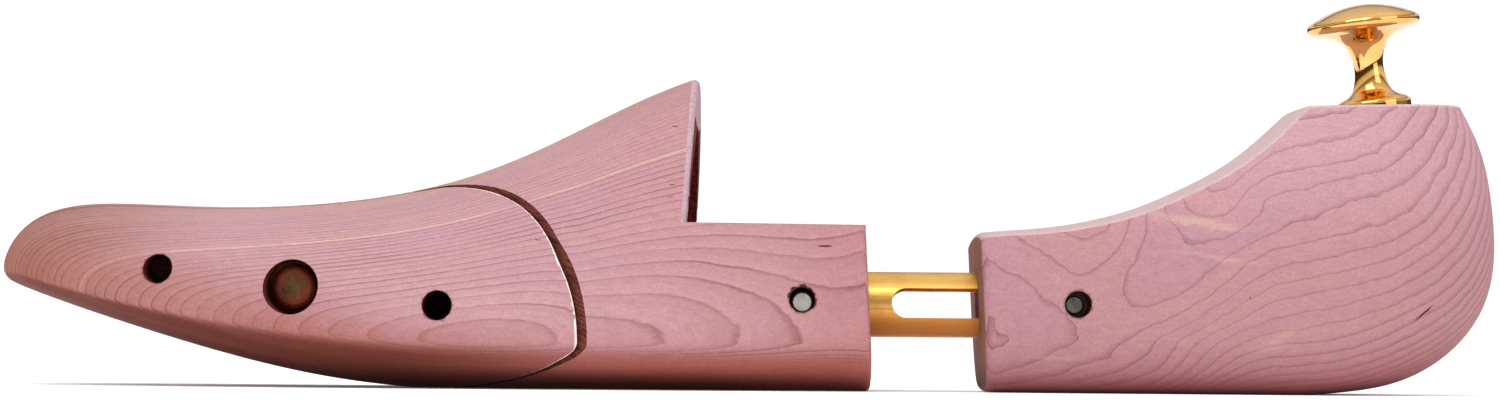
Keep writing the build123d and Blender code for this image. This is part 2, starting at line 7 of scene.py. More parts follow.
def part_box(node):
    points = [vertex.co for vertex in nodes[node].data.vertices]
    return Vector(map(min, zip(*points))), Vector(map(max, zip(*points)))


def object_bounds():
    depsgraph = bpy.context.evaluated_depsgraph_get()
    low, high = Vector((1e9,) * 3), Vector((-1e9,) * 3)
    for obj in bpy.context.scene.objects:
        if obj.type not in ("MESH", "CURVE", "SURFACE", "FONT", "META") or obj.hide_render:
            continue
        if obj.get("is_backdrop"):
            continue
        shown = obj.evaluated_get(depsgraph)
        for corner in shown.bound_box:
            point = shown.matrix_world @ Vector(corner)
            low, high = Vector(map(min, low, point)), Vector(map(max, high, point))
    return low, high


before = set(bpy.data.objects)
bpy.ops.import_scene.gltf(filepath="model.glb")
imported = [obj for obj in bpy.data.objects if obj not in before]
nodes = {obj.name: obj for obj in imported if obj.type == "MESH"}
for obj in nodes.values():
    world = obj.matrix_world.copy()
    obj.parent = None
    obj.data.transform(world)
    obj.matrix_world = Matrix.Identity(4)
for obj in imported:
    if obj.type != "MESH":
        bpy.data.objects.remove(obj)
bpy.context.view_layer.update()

MM_PER_M = 1000.0


# ---------------------------------------------------------------- node graph helpers
class Graph:
    """A small writer for one material's node tree."""

    def __init__(self, name):
        self.material = bpy.data.materials.new(name)
        self.material.use_nodes = True
        self.tree = self.material.node_tree
        self.tree.nodes.clear()
        self.output = self.add("ShaderNodeOutputMaterial")
        self.bsdf = self.add("ShaderNodeBsdfPrincipled")
        self.tree.links.new(self.bsdf.outputs[0], self.output.inputs["Surface"])

    def add(self, kind, **settings):
        node = self.tree.nodes.new(kind)
        for key, value in settings.items():
            setattr(node, key, value)
        return node

    def plug(self, value, socket):
        if isinstance(value, bpy.types.NodeSocket):
            self.tree.links.new(value, socket)
        elif value is not None:
            socket.default_value = value

    def math(self, operation, a, b=None, clamp=False):
        node = self.add("ShaderNodeMath", operation=operation, use_clamp=clamp)
        for socket, value in zip(node.inputs, (a, b)):
            self.plug(value, socket)
        return node.outputs[0]

    def plus(self, a, b, clamp=False):
        return self.math("ADD", a, b, clamp)

    def minus(self, a, b):
        return self.math("SUBTRACT", a, b)

    def times(self, a, b, clamp=False):
        return self.math("MULTIPLY", a, b, clamp)

    def over(self, a, b):
        return self.math("DIVIDE", a, b)

    def most(self, a, b):
        return self.math("MAXIMUM", a, b)

    def vmath(self, operation, a, b=None):
        node = self.add("ShaderNodeVectorMath", operation=operation)
        self.plug(a, node.inputs[0])
        if b is not None:
            self.plug(b, node.inputs["Scale"] if operation == "SCALE" else node.inputs[1])
        return node.outputs["Value"] if operation == "LENGTH" else node.outputs[0]

    def stretch(self, vector, factors):
        return self.vmath("MULTIPLY", vector, factors)

    def combine(self, x=0.0, y=0.0, z=0.0):
        node = self.add("ShaderNodeCombineXYZ")
        for socket, value in zip(node.inputs, (x, y, z)):
            self.plug(value, socket)
        return node.outputs[0]

    def split(self, vector):
        node = self.add("ShaderNodeSeparateXYZ")
        self.plug(vector, node.inputs[0])
        return node.outputs

    def noise(self, vector, scale=1.0, detail=2.0, rough=0.5):
        node = self.add("ShaderNodeTexNoise")
        self.plug(vector, node.inputs["Vector"])
        node.inputs["Scale"].default_value = scale
        node.inputs["Detail"].default_value = detail
        node.inputs["Roughness"].default_value = rough
        node.inputs["Distortion"].default_value = 0.0
        return node.outputs["Fac"]

    def span(self, value, low, high, out_low=0.0, out_high=1.0, smooth=True):
        kind = "SMOOTHSTEP" if smooth else "LINEAR"
        node = self.add("ShaderNodeMapRange", interpolation_type=kind)
        self.plug(value, node.inputs[0])
        for socket, number in zip(node.inputs[1:5], (low, high, out_low, out_high)):
            self.plug(number, socket)
        return node.outputs[0]

    def mix(self, fac, a, b, blend="MIX"):
        node = self.add("ShaderNodeMix", data_type="RGBA", blend_type=blend)
        self.plug(fac, node.inputs[0])
        for socket, value in ((node.inputs[6], a), (node.inputs[7], b)):
            linked = isinstance(value, bpy.types.NodeSocket)
            self.plug(value if linked else (*value, 1.0), socket)
        return node.outputs[2]

    def bump(self, height, distance, strength):
        node = self.add("ShaderNodeBump")
        node.inputs["Strength"].default_value = strength
        node.inputs["Distance"].default_value = distance
        self.plug(height, node.inputs["Height"])
        return node.outputs[0]

    def millimetres(self):
        """The piece's own coordinates in millimetres; its own normal is kept in self.facing."""
        coord = self.add("ShaderNodeTexCoord")
        self.facing = self.split(coord.outputs["Normal"])
        return self.vmath("SCALE", coord.outputs["Object"], MM_PER_M)

    def surface(self, **sockets):
        names = {"color": "Base Color", "rough": "Roughness", "metal": "Metallic", "normal": "Normal"}
        for key, value in sockets.items():
            self.plug(value, self.bsdf.inputs[names[key]])


def srgb(r, g, b):
    """Linear colour from display values 0-255."""
    def one(c):
        c = c / 255.0
        return c / 12.92 if c <= 0.04045 else ((c + 0.055) / 1.055) ** 2.4
    return (one(r), one(g), one(b))


# display brightness of a white surface under the studio light
GAIN = 1.58


def under_light(r, g, b):
    """Surface colour that the studio light brings up to these display values."""
    return tuple(c / GAIN for c in srgb(r, g, b))


# ---------------------------------------------------------------- places on the object, mm
# (x, z) of what is bored along Y, and the radius that its faces stay within
VENTS = ((-122.5, 24.3), (-64.0, 17.1))
VENT_REACH = 3.2
SCREWS = {-1: (-94.4, 20.7), 1: (-82.0, 20.0)}
COUNTERBORE_REACH = 5.85
COUNTERBORE_FLOOR_Y = 27.2
FOREPART_PIN = (11.0, 18.9)
HEEL_PIN = (68.4, 18.5)
# the sole under the toe: x of the tip, x where it meets the floor, height at the tip
TOE_SOLE = (-157.0, -71.0, 21.5)

# ---------------------------------------------------------------- wood
# noise scales per millimetre, finest across the fibres
FIBRE_SCALE = (0.3, 2.4, 2.4)
FLECK_SCALE = (0.9, 4.5, 4.5)
MOTTLE_SCALE = (0.35, 0.8, 0.8)
PATCH_SCALE = (0.012, 0.03, 0.03)
FAINT_SCALE = (0.03, 0.09, 0.09)
CHAR_SCALE = (0.9, 0.2, 0.9)
BAND_ALONG = (0.005, 0.0, 0.0)
SPECK_SCALE = 2.2
# a layer that lies flat on the skin still gets a line of finite width
FLATTEST = 0.035
SOFT_REACH = 6.0
FINE_PER_RING = 3.0
CHAR_COLOR = srgb(48, 22, 20)
CHAR_RAGGED = 1.7
CHAR_FADE = 0.45
# height of the painted shade along the floor, mm
FOOT_SHADE_HEIGHT = 5.0
WOOD_SPECULAR = 0.06
WOOD_RELIEF = 0.00006


def spot(g, x, y, z, wobble, place, turn, half, soft=0.5):
    """Mask of one long mark on the lateral side: centre (x, z), degrees, half length and width."""
    c, s = math.cos(math.radians(turn)), math.sin(math.radians(turn))
    dx = g.minus(x, place[0])
    dz = g.minus(z, place[1])
    along = g.plus(g.times(dx, c), g.times(dz, s))
    over = g.minus(g.times(dz, c), g.times(dx, s))
    over = g.plus(over, g.times(g.minus(wobble, 0.5), half[1] * 1.6))
    reach = g.vmath("LENGTH", g.combine(g.over(along, half[0]), g.over(over, half[1]), 0.0))
    near_side = g.math("LESS_THAN", y, 0.0)
    return g.times(g.span(reach, 1.0 - soft, 1.0, 1.0, 0.0), near_side)


def cedar(name, style):
    """Solid cedar: growth layers, fibres and patches, all in the block's own millimetres; painted shade toward the
    sole, and painted light on faces turned up where the style asks for it.
    """
    g = Graph(name)
    place = g.millimetres()
    x, y, z = g.split(place)

    # growth layers lie mostly square to Y, so a rounded side shows them as contour lines
    slow = g.noise(g.stretch(place, style["slow_scale"]), 1.0, 1.0, 0.5)
    wave = g.noise(g.stretch(place, style["wave_scale"]), 1.0, 2.0, 0.55)
    tooth = g.noise(g.stretch(place, style["tooth_scale"]), 1.0, 3.0, 0.6)
    layer = style["layers"](g, x, y, z)
    for field, amount in ((slow, style["slow"]), (wave, style["wave"]), (tooth, style["tooth"])):
        layer = g.plus(layer, g.times(g.minus(field, 0.5), amount))
    turn, pitch = style["rings"](g, layer)
    ring = g.math("FRACT", turn)
    number = g.math("FLOOR", turn)
    pick = g.add("ShaderNodeTexWhiteNoise", noise_dimensions="1D")
    g.plug(number, pick.inputs["W"])
    strength = g.span(pick.outputs["Value"], 0.0, 1.0, style["line_weak"], style["line_strong"],
                      smooth=False)
    # the flatter the skin lies on the layers, the further apart their edges come out
    flatness = g.minus(1.0, g.times(g.facing[1], g.facing[1]))
    slope = g.math("SQRT", g.most(flatness, FLATTEST))
    reach = g.over(pitch, slope)
    before = g.times(g.minus(1.0, ring), reach)
    after = g.times(ring, reach)
    width = style["line_width"]
    late = g.most(g.span(before, 0.0, width, 1.0, 0.0), g.span(after, 0.0, width * 0.4, 1.0, 0.0))
    soft = g.times(g.span(before, 0.0, width * SOFT_REACH, 1.0, 0.0),
                  g.span(after, 0.0, width, 0.0, 1.0))
    fine = g.math("FRACT", g.times(turn, FINE_PER_RING))
    fine_reach = g.over(reach, FINE_PER_RING)
    fine = g.span(g.times(g.minus(1.0, fine), fine_reach), 0.0, width, 1.0, 0.0)
    fine = g.times(fine, g.span(fine_reach, width, width * 3.0))
    patchy = g.span(g.noise(g.stretch(place, FAINT_SCALE)), 0.34, 0.66, style["faint"], 1.0)
    toe = g.span(x, style["toe"][0], style["toe"][1], 1.0, 0.0)
    strength = g.times(strength, g.span(toe, 0.0, 0.7, 1.0, 1.7))
    late = g.times(g.times(late, strength), patchy, clamp=True)
    late = g.most(late, g.times(g.times(fine, patchy), style["fine"]))

    # fibres run toward the toe
    fibre = g.noise(g.stretch(place, FIBRE_SCALE), 1.0, 3.0, 0.6)
    fleck = g.noise(g.stretch(place, FLECK_SCALE), 1.0, 2.0, 0.6)
    speck = g.noise(place, SPECK_SCALE, 2.0, 0.7)
    mottle = g.noise(g.stretch(place, MOTTLE_SCALE), 1.0, 3.0, 0.65)
    across = g.combine(0.0, g.times(layer, style["band"]), 0.0)
    band = g.noise(g.vmath("ADD", g.stretch(place, BAND_ALONG), across), 1.0, 2.0, 0.6)
    patch = g.noise(g.stretch(place, PATCH_SCALE))

    # ground colour: bands, tan patches, slow drifts and the toe
    color = g.mix(g.span(band, 0.36, 0.64), style["rose"], style["mauve"])
    color = g.mix(g.times(g.span(patch, 0.42, 0.7), style["tan_share"]), color, style["tan"])
    for axis, start, end, amount, tint in style["drifts"]:
        color = g.mix(g.span((x, y, z)[axis], start, end, 0.0, amount), color, tint)
    color = g.mix(g.times(toe, g.span(band, 0.36, 0.62, 0.7, 1.0)), color, style["toe_color"])
    color = g.mix(g.times(soft, style["soft"]), color, style["line"])
    off_pale = g.math("ABSOLUTE", g.minus(layer, style["pale_layer"]))
    pale_ring = g.span(off_pale, 0.0, style["pale_width"], 1.0, 0.0)
    pale_ring = g.times(pale_ring, g.span(wave, 0.38, 0.55, 0.25, 0.9))
    pale_ring = g.times(pale_ring, g.math("LESS_THAN", y, 0.0))
    color = g.mix(late, color, style["line"])
    color = g.mix(pale_ring, color, style["cream"])
    for spot_place, spot_turn, spot_half, amount in style["pale_streaks"]:
        mask = spot(g, x, y, z, mottle, spot_place, spot_turn, spot_half, 0.9)
        color = g.mix(g.times(mask, amount), color, style["cream"])

    # painted shade: warmer and darker toward the sole and on faces turned down
    front = g.span(x, -75.0, -25.0, 1.0, 0.0)
    under = g.span(g.facing[2], -0.3, -1.0, 0.0, style["under"])
    low = g.plus(under, g.span(z, 0.0, style["low_top"], style["low"], 0.0), clamp=True)
    color = g.mix(low, color, style["sole_shade"])
    # painted shade under the toe: the toe lifts off the floor, so heights there count from its own sloping
    # underside
    tip_x, floor_x, tip_height = TOE_SOLE
    rise = g.minus(z, g.span(x, tip_x, floor_x, tip_height, 0.0, smooth=False))
    front_low = g.times(front, g.span(rise, 4.0, 20.0, style["front_low"], 0.0))
    front_low = g.times(front_low, g.span(x, -150.0, -85.0, 0.45, 1.0))
    color = g.mix(front_low, color, style["toe_shade_tint"])
    # painted shade on the faces turned down under the toe
    front_under = g.times(front, g.span(g.facing[2], -0.15, -0.9, 0.0, style["front_under"]))
    front_under = g.times(front_under, g.span(band, 0.35, 0.65, 0.75, 1.0))
    color = g.mix(front_under, color, style["foot_shade_color"])
    # painted shade in the last few millimetres above the floor
    foot = g.times(g.span(z, 0.0, FOOT_SHADE_HEIGHT, style["foot"], 0.0),
                  g.span(x, -10.0, 20.0, 1.0, style["foot_back"]))
    color = g.mix(foot, color, style["foot_shade_color"])
    # painted light: faces turned up are paler, where the light from above falls on them
    if style["painted_top_light"]:
        color = g.mix(g.span(g.facing[2], 0.3, 0.7, 0.0, style["painted_top_light"]), color, style["painted_top_light_color"])

    # resin flecks, and charred rims round the bored holes
    for spot_place, spot_turn, spot_half, amount in style["dark_flecks"]:
        mask = spot(g, x, y, z, fibre, spot_place, spot_turn, spot_half, 0.6)
        color = g.mix(g.times(mask, amount), color, style["resin"])
    for hole_place, hole_size, amount in style["burns"]:
        dx = g.minus(x, hole_place[0])
        dz = g.minus(z, hole_place[1])
        away = g.vmath("LENGTH", g.combine(dx, dz, 0.0))
        ragged = g.noise(g.stretch(place, CHAR_SCALE), 1.0, 2.0, 0.6)
        away = g.plus(away, g.times(g.minus(ragged, 0.5), CHAR_RAGGED))
        burn = g.span(away, hole_size, hole_size + CHAR_FADE, amount, 0.0)
        color = g.mix(g.times(burn, g.math("LESS_THAN", y, 0.0)), color, CHAR_COLOR)

    grain = g.span(fibre, 0.25, 0.75, 0.93, 1.065, smooth=False)
    grain = g.times(grain, g.span(mottle, 0.25, 0.75, 0.935, 1.065, smooth=False))
    grain = g.times(grain, g.span(speck, 0.3, 0.7, 0.90, 1.10, smooth=False))
    grain = g.times(grain, g.span(fleck, 0.60, 0.78, 1.0, 0.90))
    color = g.mix(1.0, color, g.combine(grain, grain, grain), blend="MULTIPLY")

    rough = g.span(mottle, 0.2, 0.8, 0.55, 0.72, smooth=False)
    height = g.plus(g.times(fibre, 0.6), g.times(late, -0.5))
    height = g.plus(height, g.times(fleck, 0.4))
    g.surface(color=color, rough=rough, normal=g.bump(height, WOOD_RELIEF, 0.55))
    g.bsdf.inputs["Specular IOR Level"].default_value = WOOD_SPECULAR
    return g.material


# bend of the forepart's layers, counted from this far in front of the middle
TAIL_START = 35.0
TAIL_BEND = (0.062, 0.0032, 0.0000187)
# rings per millimetre of depth, and how they crowd with the cube of the depth
FORE_RATE = 0.6
FORE_CROWD = 0.00022


def fore_layers(g, x, y, z):
    """Depth of the growth layers in the forepart: flat, bending back along the tail."""
    tail = g.most(g.plus(x, TAIL_START), 0.0)
    square = g.times(tail, tail)
    bend = g.plus(g.times(tail, TAIL_BEND[0]), g.times(square, TAIL_BEND[1]))
    bend = g.minus(bend, g.times(g.times(square, tail), TAIL_BEND[2]))
    return g.minus(y, bend)


def fore_rings(g, layer):
    """Ring count and ring pitch against depth: the outer rings are the closest together."""
    square = g.times(layer, layer)
    crowd = g.times(g.times(square, layer), FORE_CROWD)
    turn = g.plus(g.times(layer, FORE_RATE), crowd)
    rate = g.plus(g.times(square, 3.0 * FORE_CROWD), FORE_RATE)
    return turn, g.over(1.0, rate)


# swellings in the heel's layers: centre (x, z), half sizes, amount
HEEL_SWELLINGS = (((85.0, 22.0), (15.0, 10.0), -2.6), ((116.0, 42.0), (16.0, 8.0), 1.4))
HEEL_TWIST_Z = 11.0
HEEL_RING = 2.7


def heel_layers(g, x, y, z):
    """Depth of the growth layers in the heel: twisting from front to back, with two swellings."""
    lean = g.span(x, 66.0, 102.0, 0.28, -0.72)
    layer = g.plus(y, g.span(x, 20.0, 120.0, 0.0, 24.0))
    layer = g.plus(layer, g.span(x, 78.0, 112.0, 0.0, 8.0))
    rise = g.minus(z, HEEL_TWIST_Z)
    rise = g.most(rise, g.times(rise, g.span(x, 80.0, 104.0)))
    layer = g.plus(layer, g.times(lean, rise))
    for place, size, amount in HEEL_SWELLINGS:
        dx = g.over(g.minus(x, place[0]), size[0])
        dz = g.over(g.minus(z, place[1]), size[1])
        reach = g.vmath("LENGTH", g.combine(dx, dz, 0.0))
        layer = g.plus(layer, g.span(reach, 0.0, 1.4, amount, 0.0))
    return layer


def heel_rings(g, layer):
    """Ring count and the even ring pitch of the heel."""
    return g.over(layer, HEEL_RING), HEEL_RING


# forepart: the noise scales are per millimetre, the places are (x, z) in millimetres
FORE_STYLE = {
    "layers": fore_layers, "rings": fore_rings,
    "slow_scale": (0.007, 0.015, 0.015), "wave_scale": (0.022, 0.05, 0.05), "tooth_scale": (0.16, 0.4, 0.4),
    "slow": 1.8, "wave": 0.5, "tooth": 0.10,
    "line_weak": 0.20, "line_strong": 0.75, "line_width": 0.42, "line": under_light(136, 74, 74),
    "fine": 0.16, "soft": 0.16, "band": 0.17, "faint": 0.45,
    "rose": under_light(220, 174, 175), "mauve": under_light(214, 167, 180),
    "tan": under_light(217, 172, 164), "tan_share": 0.55,
    # axis, start, end, share, colour
    "drifts": ((0, -75.0, 0.0, 0.5, under_light(206, 150, 148)),
               (0, 0.0, 30.0, 0.6, under_light(200, 136, 138))),
    "toe": (-166.0, -102.0), "toe_color": under_light(164, 108, 90),
    "cream": under_light(236, 200, 178), "pale_layer": -29.6, "pale_width": 0.30,
    # painted shade toward the sole, under the toe and along the floor
    "under": 0.5, "low": 0.40, "low_top": 17.0, "sole_shade": under_light(190, 98, 80),
    "foot": 0.8, "foot_back": 0.5, "foot_shade_color": under_light(96, 32, 22),
    "front_low": 0.75, "toe_shade_tint": under_light(172, 98, 76), "front_under": 0.72,
    # painted light on faces turned up, none on the forepart
    "painted_top_light": 0.0,
    # centre, degrees, half length and width, share
    "pale_streaks": (),
    "resin": under_light(110, 34, 40),
    "dark_flecks": (((15.6, 30.2), 0.0, (2.0, 0.32), 0.95), ((-15.8, 55.2), -12.0, (0.9, 0.22), 0.7),
                    ((-16.2, 42.6), 4.0, (0.9, 0.20), 0.85), ((-16.6, 40.0), 2.0, (1.0, 0.20), 0.5),
                    ((-43.6, 30.8), -4.0, (1.0, 0.18), 0.7)),
    # centre, radius, share
    "burns": (((11.0, 19.1), 2.75, 0.95), (VENTS[0], 3.0, 0.5), (VENTS[1], 3.0, 0.5)),
}
# heel: the toe range and the pale layer lie off the block, so neither shows
HEEL_STYLE = dict(
    FORE_STYLE, layers=heel_layers, rings=heel_rings,
    slow_scale=(0.012, 0.02, 0.02), wave_scale=(0.05, 0.07, 0.07), tooth_scale=(0.3, 0.3, 0.3),
    slow=3.0, wave=3.4, tooth=0.9,
    line_weak=0.10, line_strong=0.9, line_width=0.36, line=under_light(136, 74, 84),
    fine=0.20, soft=0.36, band=0.22, faint=0.2,
    rose=under_light(204, 152, 157), mauve=under_light(198, 147, 160),
    tan=under_light(202, 150, 148), tan_share=0.5,
    drifts=((2, 26.0, 56.0, 0.7, under_light(220, 172, 182)),),
    toe=(-400.0, -300.0), pale_layer=400.0,
    # painted shade toward the sole and along the floor
    under=0.35, low=0.32, low_top=12.0, sole_shade=under_light(178, 92, 92),
    foot=0.5, foot_back=1.0, foot_shade_color=under_light(110, 44, 40),
    # painted light: the heel's faces turned up are paler
    painted_top_light=0.7, painted_top_light_color=under_light(238, 212, 210),
    pale_streaks=(((92.0, 36.0), -9.0, (17.0, 1.6), 0.42), ((96.0, 28.6), -8.0, (13.0, 0.9), 0.25),
                  ((64.0, 7.2), -2.0, (9.0, 0.8), 0.3), ((110.0, 11.5), 30.0, (9.0, 2.0), 0.2)),
    dark_flecks=(((141.0, 17.4), 39.0, (3.6, 0.30), 1.0), ((103.8, 20.1), 0.0, (0.35, 0.3), 0.6)),
    burns=((HEEL_PIN, 2.8, 0.5),),
)

wood_fore = cedar("cedar_forepart", FORE_STYLE)
wood_heel = cedar("cedar_heel", HEEL_STYLE)


# painted shade: plain wood darkens toward the floor, up to this height in mm
SHADE_TOP = 9.0
PLAIN_SPECULAR = 0.2


def plain_wood(name, base, shade, streak, rough=0.8, depth=0.0002, turn=0.0):
    """Cut or rounded wood: two tones in streaks, with the streak scale given per axis."""
    g = Graph(name)
    place = g.millimetres()
    x, y, z = g.split(place)
    slanted = g.combine(g.times(x, streak[0]), g.times(y, streak[1]),
                        g.plus(g.times(z, streak[2]), g.times(x, turn)))
    cut = g.noise(slanted, 1.0, 3.0, 0.65)
    fuzz = g.noise(place, 1.6, 3.0, 0.7)
    mark = g.span(g.plus(g.times(cut, 0.7), g.times(fuzz, 0.3)), 0.36, 0.62)
    color = g.mix(mark, base, shade)
    # painted shade toward the floor
    low = g.span(z, 0.0, SHADE_TOP, 0.75, 0.0)
    color = g.mix(low, color, tuple(c * 0.25 for c in shade))
    height = g.plus(cut, g.times(fuzz, 0.5))
    g.surface(color=color, rough=g.span(fuzz, 0.2, 0.8, rough - 0.08, rough + 0.08, smooth=False),
              normal=g.bump(height, depth, 0.8))
    g.bsdf.inputs["Specular IOR Level"].default_value = PLAIN_SPECULAR
    return g.material


EVEN = (1.2, 1.2, 1.2)
UPRIGHT = (1.4, 1.8, 0.12)
sawn = plain_wood("sawn_cedar", under_light(148, 76, 60), under_light(70, 26, 22), (0.15, 0.15, 2.4), turn=1.2)
hollow = plain_wood("hollow_cedar", under_light(158, 62, 56), under_light(86, 22, 24), (0.9, 0.9, 0.9),
                    depth=0.0005)
# painted highlight: near white for the cheeks' small rounded rims along the cut
edge_highlight = plain_wood("edge_highlight_cedar", srgb(246, 226, 224), srgb(236, 206, 204), EVEN, 0.6, 0.00004)
end_grain = plain_wood("end_cedar", under_light(200, 152, 146), under_light(160, 108, 102), UPRIGHT, 0.7, 0.00006)
heel_end = plain_wood("heel_end_cedar", under_light(184, 120, 98), under_light(138, 78, 62), UPRIGHT, 0.7, 0.00006)
bore = plain_wood("bored_cedar", under_light(168, 78, 60), under_light(92, 34, 26), (0.8, 0.8, 0.8), 0.75)
rim_pale = plain_wood("rim_cedar", under_light(220, 186, 196), under_light(200, 162, 174), EVEN, 0.6, 0.00004)
dowel = plain_wood("dowel_wood", under_light(84, 34, 30), under_light(44, 14, 12), (1.5, 0.2, 1.5), 0.75)


# ---------------------------------------------------------------- metal
SMUDGE_SCALE = (0.12, 0.12, 0.12)
PIT_SCALE = 3.0


def metal(name, color, dark, rough_range, streak, relief=0.00002, below=None, shine=1.0):
    """Bare metal with drawn streaks, smudges and small pits; below is a painted shade tint on what faces down."""
    g = Graph(name)
    place = g.millimetres()
    smudge = g.noise(g.stretch(place, SMUDGE_SCALE), 1.0, 4.0, 0.6)
    line = g.noise(g.stretch(place, streak), 1.0, 3.0, 0.6)
    pit = g.noise(place, PIT_SCALE)
    tint = g.mix(g.span(smudge, 0.3, 0.75), color, dark)
    tint = g.mix(g.span(line, 0.3, 0.7, 0.0, 0.25), tint, dark)
    # painted shade on what faces down
    if below:
        tint = g.mix(g.span(g.facing[2], 0.05, -0.75, 0.0, 0.85), tint, below)
    wear = g.plus(g.times(smudge, 0.6), g.times(line, 0.4))
    height = g.plus(g.times(line, 0.7), g.times(pit, 0.3))
    g.surface(color=tint, rough=g.span(wear, 0.3, 0.7, *rough_range), metal=shine,
              normal=g.bump(height, relief, 0.5))
    return g.material


CAST = (1.5, 1.5, 1.5)
tube_gold = metal("tube_gold", srgb(226, 180, 98), srgb(206, 152, 74), (0.28, 0.42), (0.05, 2.0, 2.0),
                  below=srgb(204, 124, 60))
knob_brass = metal("knob_brass", srgb(238, 190, 118), srgb(216, 160, 84), (0.05, 0.12), (0.4, 0.4, 3.0),
                   relief=0.000004)
# brass screw heads in dark bronze; the darkness is partly painted shade from the deep counterbore
screw_brass = metal("screw_brass", srgb(124, 50, 12), srgb(78, 30, 8), (0.34, 0.5), CAST, shine=0.5)
# painted highlight: bright brass on the recess walls for the glints at the cross
recess_glint_brass = metal("recess_glint_brass", srgb(250, 226, 160), srgb(190, 146, 84), (0.16, 0.3), CAST, shine=0.5)
recess_floor = metal("recess_floor", srgb(124, 88, 40), srgb(64, 40, 18), (0.25, 0.45), CAST, shine=0.5)
# painted shade: the washers are darkened to the reddish brown shade deep in the counterbores
counterbore_shade_steel = metal("counterbore_shade_steel", srgb(92, 52, 34), srgb(50, 22, 14), (0.45, 0.65), EVEN)
plain_steel = metal("plain_steel", srgb(150, 146, 138), srgb(92, 88, 82), (0.35, 0.55), EVEN)
pin_steel = metal("pin_steel", srgb(206, 206, 200), srgb(96, 92, 84), (0.25, 0.5), (2.5, 0.5, 0.8),
                  relief=0.00006)
spring_steel = metal("spring_steel", srgb(170, 170, 172), srgb(120, 118, 116), (0.28, 0.42), (1.0, 1.0, 1.0))

by_node = {
    "instep_block": wood_fore, "lateral_cheek": wood_fore, "medial_cheek": wood_fore, "heel_block": wood_heel,
    "front_guide_dowel": dowel, "rear_guide_dowel": dowel,
    "tube": tube_gold, "knob": knob_brass, "lateral_cheek_screw": screw_brass, "medial_cheek_screw": screw_brass,
    "lateral_screw_washer": counterbore_shade_steel, "medial_screw_washer": counterbore_shade_steel, "forepart_pin": pin_steel,
    "heel_pin": pin_steel, "thrust_washer": plain_steel, "knob_stud": plain_steel,
    "main_spring": spring_steel, "lateral_cheek_spring": spring_steel, "medial_cheek_spring": spring_steel,
}
for name, obj in nodes.items():
    obj.data.materials.clear()
    obj.data.materials.append(by_node[name])


def face_kinds(obj, kinds, pick):
    """Give polygons their own material: pick(centre mm, normal) names one of kinds or None."""
    mesh = obj.data
    slots = {}
    for kind, material in kinds.items():
        mesh.materials.append(material)
        slots[kind] = len(mesh.materials) - 1
    for polygon in mesh.polygons:
        kind = pick(polygon.center * MM_PER_M, polygon.normal)
        if kind:
            polygon.material_index = slots[kind]


def edge_band(obj, inner, reach, kind_material):
    """Polygons within reach of the named inner faces take the rounded edge material."""
    mesh = obj.data
    corners = [vertex.co for vertex in mesh.vertices]
    faces = [tuple(p.vertices) for p in mesh.polygons if p.material_index == inner]
    tree = BVHTree.FromPolygons(corners, faces)
    mesh.materials.append(kind_material)
    slot = len(mesh.materials) - 1
    for polygon in mesh.polygons:
        if polygon.material_index == 0:
            spots = [corners[k] for k in polygon.vertices]
            if all(tree.find_nearest(spot, reach)[0] is not None for spot in spots):
                polygon.material_index = slot


CHEEK_HOLES = {side: tuple((*vent, VENT_REACH) for vent in VENTS) + ((*SCREWS[side], COUNTERBORE_REACH),)
               for side in SCREWS}
# a face counts as upright, or as square to an axis, within these parts of its normal
UPRIGHT_NORMAL = 0.03
SQUARE_NORMAL = 0.9
SAWN, RIM = 1, 3
CHEEK_EDGE_REACH = 0.0008
RIM_REACH = 0.0018


def in_hole(c, n, holes):
    """True on the wall or floor of a hole bored along Y."""
    slanted = 0.3 < abs(n.y) < 0.99
    return not slanted and any(math.hypot(c.x - x, c.z - z) < r for x, z, r in holes)


for name, side in (("lateral_cheek", -1), ("medial_cheek", 1)):
    def cheek_pick(c, n, side=side):
        if abs(n.z) < UPRIGHT_NORMAL and n.y * side < -0.1 and c.z > 0.2:
            return "sawn"
        if in_hole(c, n, CHEEK_HOLES[side]) and (abs(n.y) < 0.1 or abs(c.y) < COUNTERBORE_FLOOR_Y):
            return "bore"
        return None
    face_kinds(nodes[name], {"sawn": sawn, "bore": bore}, cheek_pick)
    # the rounded rim along the cut takes the painted highlight
    edge_band(nodes[name], SAWN, CHEEK_EDGE_REACH, edge_highlight)


def block_pick(c, n):
    """Kinds of the instep block's cut faces: pin mouth, cheek seats, finger hollow, instep rim, tail end."""
    if math.hypot(c.x - FOREPART_PIN[0], c.z - FOREPART_PIN[1]) < 2.9 and abs(n.y) < 0.1:
        return "bore"
    if c.x < -25 and abs(n.z) < UPRIGHT_NORMAL and abs(c.y) > 5.5 and n.y * c.y > 0 and n.x < -0.15:
        return "sawn"
    downward = n.z < -0.02
    sideways = n.y * c.y < -0.02
    front_wall = c.x < -35 and n.x > SQUARE_NORMAL
    ledge = c.z < 34.9 and c.x < -13.0
    inward = downward or sideways or front_wall or ledge
    if -36.5 < c.x < -10.9 and abs(c.y) < 27.3 and 34.6 < c.z < 56.7 and inward:
        return "hollow"
    if -16 < c.x < -9 and c.z > 34.8 and n.x > SQUARE_NORMAL:
        return "rim"
    if c.x > 23 and n.x > SQUARE_NORMAL:
        return "end"
    return None


def heel_pick(c, n):
    """Kinds of the heel's cut faces: pin mouth and front end."""
    if math.hypot(c.x - HEEL_PIN[0], c.z - HEEL_PIN[1]) < 3.0 and abs(n.y) < 0.1:
        return "bore"
    return "end" if c.x < 52 and n.x < -SQUARE_NORMAL else None


face_kinds(nodes["instep_block"], {"sawn": sawn, "hollow": hollow, "rim": rim_pale, "end": end_grain,
                                   "bore": bore}, block_pick)
edge_band(nodes["instep_block"], RIM, RIM_REACH, rim_pale)
face_kinds(nodes["heel_block"], {"end": heel_end, "bore": bore}, heel_pick)

